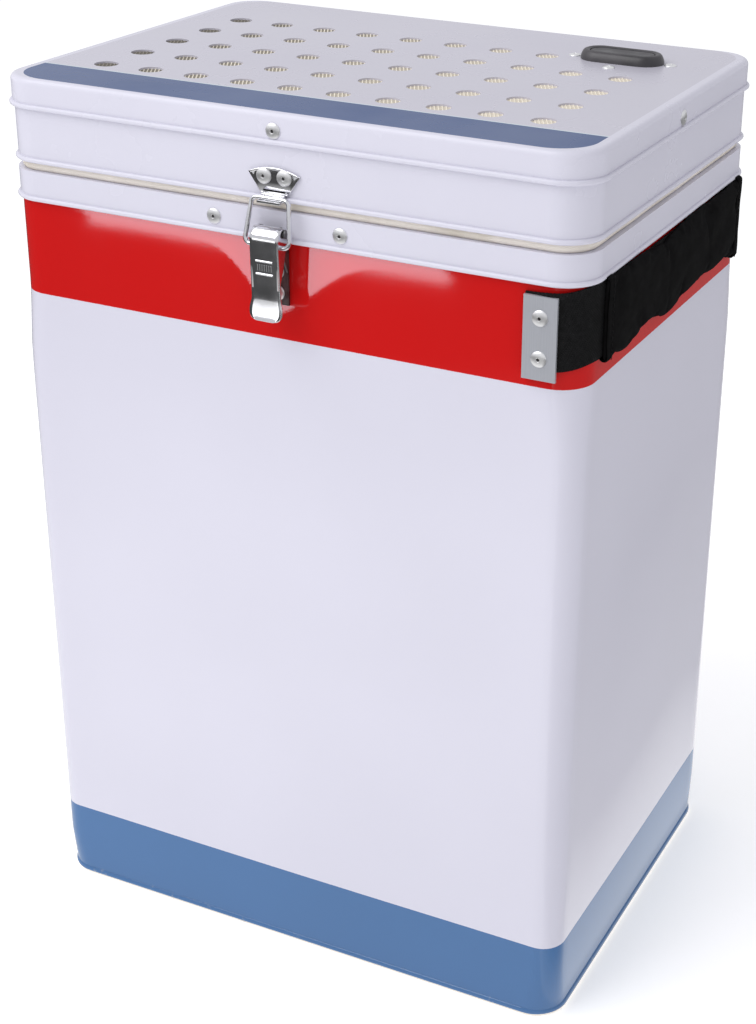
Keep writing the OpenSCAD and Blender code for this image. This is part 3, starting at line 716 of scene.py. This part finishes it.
def build_bail():
    """The bright wire bail: feet turned in to the lever, legs that lean in, and a bar across the hook."""
    wire = 1.15 * MM
    foot_x = bail_high.x - wire + 0.5 * MM
    top_x = 10 * MM
    bend = 3 * MM
    lean = bail_bar - bail_pivot
    height = lean.length
    up = lean.normalized()
    leg = math.atan2(height, top_x - foot_x)
    foot_centre = (foot_x - bend * math.tan(leg / 2), bend)
    top_centre = (top_x - bend * math.tan((math.pi - leg) / 2), height - bend)
    half = [(6.6 * MM, 0.0)]
    steps = 12
    for (cx, cy), start, end in ((foot_centre, 0.0, leg), (top_centre, leg, math.pi)):
        angles = [start + (end - start) * i / steps for i in range(steps + 1)]
        half += [(cx + bend * math.sin(t), cy - bend * math.cos(t)) for t in angles]
    flat = half + [(-x, y) for x, y in reversed(half)]
    path = [bail_pivot + Vector((x, 0, 0)) + up * y for x, y in flat]
    skin = Skin()
    skin.tube(path, wire, sides=20)
    bail = skin.object("bail_wire", CHROME, "bail", "bright_plate", sharp=60)
    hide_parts("latch_bail")


def lever_sections():
    """Stations down the lever's web: (y of the outer face, z, outward lean in radians, half width)."""
    front, tip_z = lever_low.y, lever_low.z
    shank_half, tip_half, tip_r = 7.9 * MM, 9.2 * MM, 4 * MM
    widening, flare, roll_end = 0.25 * MM, 1.8 * MM, 0.6 * MM
    roll_y = front + ROLL_R
    stations = []
    for i in range(14):
        a = math.radians(88 - 93 * i / 13)
        stations.append((roll_y - ROLL_R * math.cos(a), roll_z + ROLL_R * math.sin(a), a, shank_half))
    neck_z = tip_z + 11.2 * MM
    inset = 0.9 * MM
    for i in range(1, 8):
        t = i / 7
        z = roll_z - roll_end + (neck_z - roll_z + roll_end) * t
        stations.append((front + inset * smooth(t), z, -0.02, shank_half + widening * t))
    for i in range(1, 13):
        t = i / 12
        z = neck_z + (tip_z - neck_z) * (1 - (1 - t) ** 1.35)
        y = front + inset - flare * (t - 0.1 * math.sin(math.pi * t))
        wide = shank_half + widening + (tip_half - shank_half - widening) * smooth(t * 2.4)
        under = tip_z + tip_r - z
        cut = tip_r - math.sqrt(max(0.0, tip_r * tip_r - under * under)) if under > 0 else 0.0
        stations.append((y, z, -0.2 * smooth(t * 5), wide - cut))
    return stations


def build_lever():
    """The latch's lever: a pressed channel with a rolled top, a flared tip and two pressed ribs."""
    skin = Skin()
    sheet = 1.2 * MM
    across = 10
    rings = []
    for y, z, lean, half in lever_sections():
        outward = Vector((0, -math.cos(lean), math.sin(lean)))
        face = Vector((0, y, z))
        outer, inner = [], []
        for i in range(across + 1):
            u = -1 + 2 * i / across
            u = math.copysign(1 - (1 - abs(u)) ** 1.5, u)
            rounding = 0.5 * MM * max(0.0, (abs(u) - 0.86) / 0.14) ** 2
            outer.append(face + Vector((u * half, 0, 0)) - outward * rounding)
            inner.append(face + Vector((u * half, 0, 0)) - outward * (sheet - rounding * 0.4))
        rings.append(outer + inner[::-1])
    skin.loft(rings, caps=True)
    front, py, pz = lever_low.y, lever_pivot.y, lever_pivot.z
    cheek = arc(py, pz, 3.1 * MM, 0, 88, 6)
    cheek += arc(front + ROLL_R, roll_z, ROLL_R - 0.1 * MM, 92, 180, 8)
    cheek += [(front + 0.7 * MM, pz - 27 * MM), (front + 1.6 * MM, pz - 27 * MM),
              (py - 1.5 * MM, pz - 18.5 * MM), (py + 2.6 * MM, pz - 5 * MM)]
    for middle in (-7 * MM, 7 * MM):
        skin.add(*bevelled(cheek, "x", middle - 0.5 * MM, middle + 0.5 * MM, 0.25 * MM))
    for z in (pz - 13 * MM, pz - 19.5 * MM):
        rib = [Vector((u * 4.6 * MM, front + 0.42 * MM, z)) for u in [-1 + i / 6 for i in range(13)]]
        skin.tube(rib, 0.55 * MM, sides=10)
    for i in range(-3, 4):
        x = i * 1.25 * MM
        bar = [Vector((x, front + 0.5 * MM, pz - 16.25 * MM + s * 1.5 * MM)) for s in (-1, -0.5, 0, 0.5, 1)]
        skin.tube(bar, 0.42 * MM, sides=8)
    lever = skin.object("lever_pressing", CHROME, "lever", "bright_plate", sharp=40)
    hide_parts("latch_lever")


def build_keeper():
    """The keeper on the lid: a fan with a rolled top edge, a fold, and the hook for the bail's bar."""
    sheet = 1.2 * MM
    top_half, waist_half, hook_half = 14.1 * MM, 8.25 * MM, 6.35 * MM
    corner_z, waist_z = lid_low + 13.4 * MM, lid_low + 4.4 * MM
    rise_r = 34 * MM
    spread = math.degrees(math.asin(top_half / rise_r))
    centre_z = corner_z - rise_r * math.cos(math.radians(spread))
    fan = arc(0, centre_z, rise_r, 90 - spread, 90 + spread, 14)
    fan += [(-top_half, corner_z), (-waist_half, waist_z), (waist_half, waist_z), (top_half, corner_z)]
    skin = Skin()
    wall = wall_front - 0.6 * MM
    skin.add(*bevelled(fan, "y", wall - sheet, wall, 0.35 * MM, 3))
    rim = arc(0, centre_z, rise_r, 90 - spread + 2, 90 + spread - 2, 18)
    edge = [Vector((x, wall - sheet * 0.7, z - 0.45 * MM)) for x, z in rim]
    skin.tube(edge, 0.75 * MM, sides=14)
    seat = bail_bar.z - 1.2 * MM
    back = bail_bar.y + 2 * MM
    lip = bail_bar.y - 1.25 * MM
    hook = [(wall, waist_z + 1.4 * MM), (wall - sheet, waist_z + 1.4 * MM), (wall - sheet, waist_z),
            (back, seat + 2.4 * MM), (back, seat), (lip, seat), (lip, seat + 0.35 * MM),
            (lip - 1 * MM, seat + 0.35 * MM), (lip - 1 * MM, seat - 1 * MM), (back + 1 * MM, seat - 1 * MM),
            (back + 1 * MM, seat + 2 * MM), (wall, waist_z - 0.6 * MM)]
    skin.add(*bevelled(hook, "x", -hook_half, hook_half, 0.2 * MM))
    fold_y, fold_z = wall - sheet * 0.9, waist_z - 0.5 * MM
    fold = [Vector((u * 7.2 * MM, fold_y, fold_z)) for u in [-1 + i / 6 for i in range(13)]]
    skin.tube(fold, 0.45 * MM, sides=10)
    keeper = skin.object("keeper_plate", CHROME, "lid", "bright_plate", sharp=40)
    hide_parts("latch_keeper")


# ---------- strap ----------


def strap_path(offset, clamp_x, steps):
    """Points (x, y, nx, ny) from the front clamp, round the right side, to the rear clamp."""
    w, d = shell_high.x - shell_low.x, shell_high.y - shell_low.y
    r = CORNER_R
    end_x, end_y = w / 2 - r, d / 2 - r

    def corner(middle_y, start):
        angles = [math.radians(start + 90 * i / steps[1]) for i in range(steps[1])]
        turned = [(math.cos(a), math.sin(a)) for a in angles]
        return [(end_x + r * c, middle_y + r * s, c, s) for c, s in turned]

    run = [(clamp_x + (end_x - clamp_x) * i / steps[0], -d / 2, 0.0, -1.0) for i in range(steps[0])]
    run += corner(-end_y, -90)
    run += [(w / 2, -end_y + 2 * end_y * i / steps[2], 1.0, 0.0) for i in range(steps[2])]
    run += corner(end_y, 0)
    run += [(end_x + (clamp_x - end_x) * i / steps[0], d / 2, 0.0, 1.0) for i in range(steps[0] + 1)]
    return [(x + nx * offset, y + ny * offset, nx, ny) for x, y, nx, ny in run]


def build_webbing():
    """Flat webbing, with rounded selvedges, that lifts a little off the corner on its way to the sleeve."""
    low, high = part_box("strap_webbing")
    gap, thick = 0.3 * MM, 1.8 * MM
    half, mid = (high.z - low.z) / 2, (high.z + low.z) / 2
    path = strap_path(gap, low.x, (10, 14, 30))
    across = 18
    total = len(path) - 1
    sag, rise = 2.6 * MM, 2.0 * MM
    rings = []
    for index, (x, y, nx, ny) in enumerate(path):
        from_end = min(index, total - index)
        near = 1 - smooth(from_end / 16)
        drop = rise * smooth((from_end - 13) / 9) * smooth((34 - from_end) / 10) - sag * near
        wide = half + 1.4 * MM * near
        lift = 0.9 * MM * math.sin(math.pi * min(1.0, from_end / 24)) ** 2
        outer, inner = [], []
        for i in range(across + 1):
            u = -1 + 2 * i / across
            selvedge = max(0.0, (abs(u) - 0.93) / 0.07)
            rib = 0.09 * MM * math.cos(u * math.pi * 9)
            z = mid + drop + u * wide + 0.35 * MM * noise.noise(Vector((x * 60, y * 60, u)))
            t = thick - 0.5 * MM * selvedge ** 2 + rib - 0.1 * MM
            outer.append((x + nx * (t + lift), y + ny * (t + lift), z))
            b = 0.25 * MM * selvedge ** 2
            inner.append((x + nx * (b + lift * 0.8), y + ny * (b + lift * 0.8), z))
        rings.append(outer + inner[::-1])
    skin = Skin()
    skin.loft(rings, caps=True)
    strap = skin.object("strap_band", webbing(), "box", "black_webbing", sharp=60)
    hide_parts("strap_webbing")


def sleeve_form(clearance):
    """The sleeve before it swells: a soft slab along the box's right side, open at its edges' wave."""
    low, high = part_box("strap_sleeve")
    half_t = 2.5 * MM
    middle_x = wall_right + clearance + half_t
    stations, around = 64, 36
    rings = []
    for i in range(stations + 1):
        y = low.y + (high.y - low.y) * i / stations
        near_end = smooth(min(i, stations - i) / 3)
        top = through(SLEEVE_TOP, y / MM) * MM - 0.8 * MM
        bottom = through(SLEEVE_BOTTOM, y / MM) * MM + 0.8 * MM
        mid_z, half_z = (top + bottom) / 2, (top - bottom) / 2
        thick = half_t * (0.72 + 0.28 * near_end)
        ring = []
        for a in full_turn(around):
            c, s = math.cos(a), math.sin(a)
            x = middle_x + thick * math.copysign(abs(c) ** 0.5, c)
            ring.append((x, y, mid_z + half_z * math.copysign(abs(s) ** 0.8, s)))
        rings.append(ring)
    return rings


def settle_cloth(piece, frames, pressure, slack, cap):
    """Lets a closed cloth form swell and wrinkle, and keeps each point within cap of where it began."""
    before = [v.co.copy() for v in piece.data.vertices]
    cloth = piece.modifiers.new("cloth", "CLOTH")
    settings = {"quality": 6, "mass": 0.25, "tension_stiffness": 18, "compression_stiffness": 18,
                "shear_stiffness": 8, "bending_stiffness": 0.35, "use_pressure": True,
                "uniform_pressure_force": pressure, "shrink_min": -slack, "vertex_group_mass": "held"}
    for name, value in settings.items():
        setattr(cloth.settings, name, value)
    cloth.settings.effector_weights.gravity = 0
    cloth.collision_settings.use_collision = False
    cloth.point_cache.frame_start = 1
    cloth.point_cache.frame_end = frames
    scene = bpy.context.scene
    for number in range(1, frames + 1):
        scene.frame_set(number)
    settled = piece.evaluated_get(bpy.context.evaluated_depsgraph_get())
    after = [v.co.copy() for v in settled.data.vertices]
    piece.modifiers.remove(cloth)
    scene.frame_set(1)
    for vert, old, new in zip(piece.data.vertices, before, after):
        move = new - old
        vert.co = old + move * min(1.0, cap / max(move.length, 1e-9))


def build_sleeve():
    """The padded sleeve round the strap, swelled and wrinkled as cloth, and held against the wall."""
    clearance = 0.45 * MM
    mesh = bpy.data.meshes.new("sleeve_pad")
    skin = Skin()
    skin.loft(sleeve_form(clearance), caps=True)
    mesh.from_pydata(skin.points, [], skin.faces)
    piece = new_object("sleeve_pad", mesh)
    remesh = piece.modifiers.new("remesh", "REMESH")
    remesh.mode = "VOXEL"
    remesh.voxel_size = 2.2 * MM
    shaped = applied(piece)
    piece.modifiers.clear()
    piece.data = shaped
    shaped.name = "sleeve_pad"
    low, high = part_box("strap_sleeve")
    held = piece.vertex_groups.new(name="held")
    for vert in shaped.vertices:
        end = min(vert.co.y - low.y, high.y - vert.co.y)
        back = vert.co.x - wall_right
        weight = max(1 - smooth(end / (4 * MM)), 1 - smooth(back / (1.6 * MM)))
        if weight > 0:
            held.add([vert.index], weight, "REPLACE")
    settle_cloth(piece, 20, 2.0, 0.03, 1.3 * MM)
    for vert in shaped.vertices:
        y, z = vert.co.y / MM, vert.co.z / MM
        out = smooth((vert.co.x - wall_right - 1.5 * MM) / (3 * MM))
        crease = noise.noise(Vector((y * 0.016, z * 0.095 - y * 0.022, 3.0)))
        fine = noise.noise(Vector((y * 0.05, z * 0.24 - y * 0.06, 9.0)))
        vert.co.x += out * (0.9 * MM * crease + 0.35 * MM * fine)
        vert.co.x = max(vert.co.x, wall_right + 0.35 * MM)
    smoother = piece.modifiers.new("subdivision", "SUBSURF")
    smoother.levels = 1
    smoother.render_levels = 1
    final = applied(piece)
    bpy.data.objects.remove(piece)
    sleeve = finish_mesh("strap_padding", final, SLEEVE, "box", sharp=70)
    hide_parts("strap_sleeve")


def build_hems():
    """The turned hem at each end of the sleeve, and the row of stitches beside it."""
    low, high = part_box("strap_sleeve")
    hems, stitches = Skin(), Skin()
    width = 6.5 * MM
    inner_x = wall_right + 0.35 * MM
    profile = [(0.12, 1.0), (0.0, 0.5), (0.08, 0.1), (0.5, 0.0), (0.9, 0.1), (1.0, 0.45), (0.95, 0.9)]
    for y, inward in ((low.y, 1), (high.y, -1)):
        top, bottom = through(SLEEVE_TOP, y / MM) * MM, through(SLEEVE_BOTTOM, y / MM) * MM
        outer_x = wall_right + 5.0 * MM
        rings = []
        for along, inset in profile:
            w = outer_x - inner_x - inset * MM
            h = top - bottom - 2 * inset * MM
            ring = []
            for px, pz, _, _ in rounded_outline(w, h, min(2.0 * MM, w * 0.45), 5, 1, 18):
                z = (top + bottom) / 2 + pz
                wave = 0.45 * MM * math.sin(z / (6.5 * MM)) + 0.25 * MM * math.sin(z / (2.6 * MM))
                ring.append((inner_x + w / 2 + px, y + inward * along * width + wave, z))
            rings.append(ring)
        hems.loft(rings)
        count = 13
        for i in range(count):
            z = bottom + (i + 0.5) * (top - bottom) / count
            x = outer_x + 0.1 * MM
            ends = [Vector((x, y + inward * 0.7 * width, z + half * 0.9 * MM)) for half in (-1, 1)]
            middle = (ends[0] + ends[1]) / 2 + Vector((0.18 * MM, 0, 0))
            stitches.tube([ends[0], middle, ends[1]], 0.22 * MM, sides=6)
    hems.object("sleeve_hems", SLEEVE, "box", "black_fabric", sharp=80)
    stitches.object("sleeve_stitches", thread(), "box", "black_fabric", sharp=80)


# ---------- lid ----------


def vent_places():
    """The middle of each vent hole."""
    for i in range(VENT_COLUMNS):
        for j in range(VENT_ROWS):
            if i < VENT_COLUMNS - VENT_SHORT_COLUMNS or j < VENT_ROWS - 1:
                yield VENT_FIRST + Vector((VENT_PITCH.x * i, VENT_PITCH.y * j, 0))


def build_screen():
    """Wire cloth over the fibre, woven in the round where the vent holes show it."""
    pitch = 1.9 * MM
    reach = VENT_D / 2 + 0.9 * MM
    turn = math.radians(118)
    along = Vector((math.cos(turn), math.sin(turn), 0))
    across = Vector((-along.y, along.x, 0))
    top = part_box("vent_screen")[1].z - 0.05 * MM
    skin = Skin()
    for place in vent_places():
        for first, second, sign, wire in ((along, across, 1, 0.46 * MM), (across, along, -1, 0.2 * MM)):
            count = int(reach / pitch)
            for k in range(-count, count + 1):
                off = k * pitch
                length = math.sqrt(max(0.0, reach ** 2 - off ** 2))
                if length < pitch:
                    continue
                steps = max(4, int(2 * length / pitch * 1.6))
                path = []
                for i in range(steps + 1):
                    s = -length + 2 * length * i / steps
                    lift = sign * 0.14 * MM * (1 + 0.6 * math.cos(math.pi * s / pitch + math.pi * k))
                    centre = place + second * off + first * s
                    path.append(Vector((centre.x, centre.y, top - 0.25 * MM + lift)))
                skin.tube(path, wire, sides=5)
    skin.object("screen_weave", screen_wire(), "lid", "woven_screen", sharp=80)


def oval_rings(centre, w, d, profile):
    """A ring round an oval for each (inset, z) of its profile."""
    rings = []
    for inset, z in profile:
        outline = rounded_outline(w - 2 * inset, d - 2 * inset, d / 2 - inset, 12, 14, 0)
        rings.append([(centre.x + x, centre.y + y, z) for x, y, _, _ in outline])
    return rings


def build_port():
    """The cable port: a moulded rubber ring with a soft bevel, and its dished plug."""
    low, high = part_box("port_ring")
    centre = (low + high) / 2
    w, d = high.x - low.x, high.y - low.y
    base, top = low.z, high.z
    outside = [(0.0, 0.0), (0.1, 1.2), (0.6, 2.8)]
    crown = [(1.3, 0.9), (1.9, 0.3), (2.6, 0.0), (3.4, 0.05), (4.5, 0.35), (4.9, 0.55), (5.0, 1.0)]
    profile = [(inset * MM, base + up * MM) for inset, up in outside]
    profile += [(inset * MM, top - down * MM) for inset, down in crown] + [(5 * MM, base)]
    skin = Skin()
    skin.loft(oval_rings(centre, w, d, profile), wrap=True)
    ring = skin.object("port_collar", RUBBER, "lid", "port_rubber", sharp=50)
    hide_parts("port_ring")
    low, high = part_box("port_plug")
    w, d = high.x - low.x, high.y - low.y
    levels = [(0.6, low.z), (0.0, low.z + 0.6 * MM), (0.0, top - 0.95 * MM), (0.2, top - 0.65 * MM),
              (0.8, top - 0.5 * MM), (2.2, top - 0.62 * MM), (3.6, top - 0.7 * MM)]
    skin = Skin()
    skin.loft(oval_rings(centre, w, d, [(inset * MM, z) for inset, z in levels]), caps=True)
    plug = skin.object("port_cap", RUBBER, "plug", "port_rubber", sharp=50)
    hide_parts("port_plug")


# ---------- CAD nodes that stay ----------


def dress(material, *nodes):
    """Gives CAD nodes their finished material."""
    for node in nodes:
        slots = frame["nodes"][node].data.materials
        slots.clear()
        slots.append(material)


def dress_frame():
    """Finishes the CAD nodes whose shape is right."""
    dress(PAINT_BODY, "base_pan")
    dress(white_paint(), "collar_frame", "lid_frame")
    dress(lid_paint(), "lid_cap")
    dress(fibre_blanket(), "wall_insulation", "base_insulation", "filter_pad")
    dress(screen_backing(), "vent_screen")
    dress(bare_sheet(), "liner_wall", "liner_floor", "lid_inner_pan", "latch_backing_bar",
          "port_backing_plate")
    # painted shade: the latch base and the lever pin are coloured dark for the shade beside the lever
    dress(painted_shade_plate(), "latch_base", "lever_pin")
    dress(zinc_plate(), "hinge_body_leaves", "hinge_lid_leaves", "hinge_pins")
    dress(brushed_aluminium(), "strap_clamp_front", "strap_clamp_rear")


# ---------- studio ----------


def build_camera():
    """Stands to the right of the front and above the lid, turned slightly about its own line of sight."""
    azimuth, elevation, roll = math.radians(24.89), math.radians(24.54), math.radians(1.05)
    distance = 1.05337
    target = Vector((0.0484, 0, 0.25709))
    flat = math.cos(elevation)
    back = Vector((math.sin(azimuth) * flat, -math.cos(azimuth) * flat, math.sin(elevation)))
    right = Vector((math.cos(azimuth), math.sin(azimuth), 0))
    up = back.cross(right)
    across = right * math.cos(roll) + up * math.sin(roll)
    upright = up * math.cos(roll) - right * math.sin(roll)
    data = bpy.data.cameras.new("camera")
    data.sensor_width = 36
    data.lens = 66.1
    data.shift_x = -0.0870
    data.shift_y = -0.0384
    data.clip_start = 0.05
    data.clip_end = 50
    camera = new_object("camera", data)
    turn = Matrix((across, upright, back)).transposed().to_4x4()
    camera.matrix_world = Matrix.Translation(target + back * distance) @ turn
    bpy.context.scene.camera = camera


def area_light(name, place, aim, size, power, colour=(1, 1, 1)):
    """A rectangular light that faces a point and that the camera doesn't see."""
    data = bpy.data.lights.new(name, "AREA")
    data.shape = "RECTANGLE"
    data.size, data.size_y = size
    data.energy = power
    data.color = colour
    light = new_object(name, data)
    light.location = place
    light.rotation_euler = (Vector(aim) - Vector(place)).to_track_quat("-Z", "Y").to_euler()
    light.visible_camera = False
    return light


def stage_disc(name, radius, height, material):
    """A flat disc that belongs to the studio."""
    angles = full_turn(96)
    mesh = bpy.data.meshes.new(name)
    points = [(radius * math.cos(a), radius * math.sin(a), height) for a in angles]
    mesh.from_pydata(points, [], [tuple(range(len(angles)))])
    mesh.materials.append(material)
    piece = new_object(name, mesh)
    return piece


def reflected_floor():
    """What gloss sees of the floor: bright paper near the box, which fades to a dark room."""
    s = Surface("reflected_floor", (0.02, 0.02, 0.02, 1), 1.0, Specular_IOR_Level=0.0)
    reach = s.add("VectorMath", {0: s.place}, operation="LENGTH").outputs["Value"]
    across = s.axis("X")
    front = s.spread(reach, 0.95, 0.05, 0.35, 1.05)
    close, far = s.spread(across, 0.85, 0.0, 0.165, 0.215), s.spread(across, 0.45, 0.2, 0.19, 0.33)
    side = s.maths("ADD", close, far)
    beside = s.step(across, 0.164, 2 * MM)
    glow = s.maths("ADD", s.maths("MULTIPLY", beside, side), front)
    glow = s.maths("SUBTRACT", glow, s.maths("MULTIPLY", beside, front))
    s.put(s.shader.inputs["Emission Color"], (1, 1, 1, 1))
    s.put(s.shader.inputs["Emission Strength"], glow)
    return s.material


def gloss_card(name, seen_in, place, size, power, colour=(1, 1, 1)):
    """A light, facing the front, that shows only in the gloss of one piece."""
    x, _, z = place
    card = area_light(name, place, (x, 0, z), size, power, colour)
    card.visible_diffuse = False
    receivers = bpy.data.collections.new("seen_by_" + name)
    receivers.objects.link(bpy.data.objects[seen_in])
    card.light_linking.receiver_collection = receivers


def build_studio():
    """A pale floor, a soft light above, and a card each for the gloss of the body and the lever."""
    scene = bpy.context.scene
    scene.view_settings.view_transform = "Standard"
    world = bpy.data.worlds.new("studio")
    scene.world = world
    world.use_nodes = True
    background = world.node_tree.nodes["Background"]
    background.inputs["Color"].default_value = (0.96, 0.965, 1.0, 1)
    background.inputs["Strength"].default_value = 0.72
    glow = {"Emission_Strength": 0.34, "Specular_IOR_Level": 0.0}
    paper = Surface("paper_floor", (0.93, 0.93, 0.93, 1), 0.9, **glow)
    paper.put(paper.shader.inputs["Emission Color"], (1, 1, 1, 1))
    stage_disc("floor", 12, -0.2 * MM, paper.material)
    mirrored = stage_disc("reflected_floor", 8, 0.3 * MM, reflected_floor())
    mirrored.visible_camera = False
    mirrored.visible_diffuse = False
    mirrored.visible_shadow = False
    area_light("soft_top", (-0.9, -1.1, 1.9), (0, 0, 0.25), (1.6, 1.6), 24)
    gloss_card("card", "body_shell", (-0.5, -0.92, 0.207), (0.42, 0.2), 1.4, (0.84, 0.9, 1.0))
    gloss_card("tip_card", "lever_pressing", (-0.45, -0.92, 0.32), (0.5, 0.2), 0.5)


# ---------- the whole scene ----------

dress_frame()
build_shell()
build_seal()
build_all_rivets()
build_bail()
build_lever()
build_keeper()
build_webbing()
build_sleeve()
build_hems()
build_screen()
build_port()
build_camera()
build_studio()
